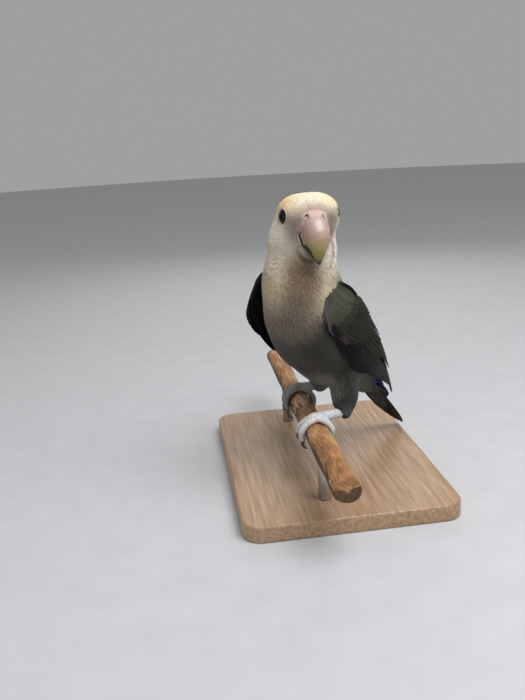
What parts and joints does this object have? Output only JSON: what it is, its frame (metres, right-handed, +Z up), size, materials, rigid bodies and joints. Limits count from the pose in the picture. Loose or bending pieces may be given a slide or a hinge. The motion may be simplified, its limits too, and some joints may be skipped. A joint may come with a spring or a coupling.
{
  "type": "peach-faced lovebird",
  "caption": "Still life-size model of a peach-faced lovebird gripping a cut length of branch, on a flat base with two short rods.",
  "frame": {"origin": "middle of the underside of the stand's base, under the middle of the branch", "axes": "+Z up, +Y along the branch from its near end to its far end; the bird faces about 221 degrees round from +X, its head about 275 degrees"},
  "size_m": [0.1, 0.19, 0.1448],
  "materials": {
    "face_feathers": "soft short feathers, cream to peach",
    "breast_feathers": "soft short feathers, cream beige",
    "belly_feathers": "soft feathers, slate to olive grey",
    "thigh_feathers": "loose mid grey feathers",
    "wing_feathers": "firm overlapping feathers, dark olive grey with black-violet flight feathers",
    "tail_feathers": "firm overlapping feathers, dark slate",
    "eye": "wet glossy dark brown to black",
    "foot_skin": "dry scaly skin, pale grey",
    "claw": "worn dark horn",
    "bill": "smooth horn, pinkish at the root to yellow olive at the tip",
    "branch": "worn bare wood with scraps of dark bark",
    "stand_wood": "pale oiled wood, satin",
    "rod": "satin steel"
  },
  "bodies": {
    "root": {"head": "face_feathers", "neck": "breast_feathers", "torso": "belly_feathers", "thigh_left": "thigh_feathers", "wing_left": "wing_feathers", "eye_left": "eye", "foot_left": "foot_skin", "claw_left_1": "claw", "claw_left_2": "claw", "claw_left_3": "claw", "claw_left_4": "claw", "thigh_right": "thigh_feathers", "wing_right": "wing_feathers", "eye_right": "eye", "foot_right": "foot_skin", "claw_right_1": "claw", "claw_right_2": "claw", "claw_right_3": "claw", "claw_right_4": "claw", "tail": "tail_feathers", "bill_upper": "bill", "bill_lower": "bill", "perch": "branch", "stand_base": "stand_wood", "stand_rod_near": "rod", "stand_rod_far": "rod"}
  },
  "joints": []
}
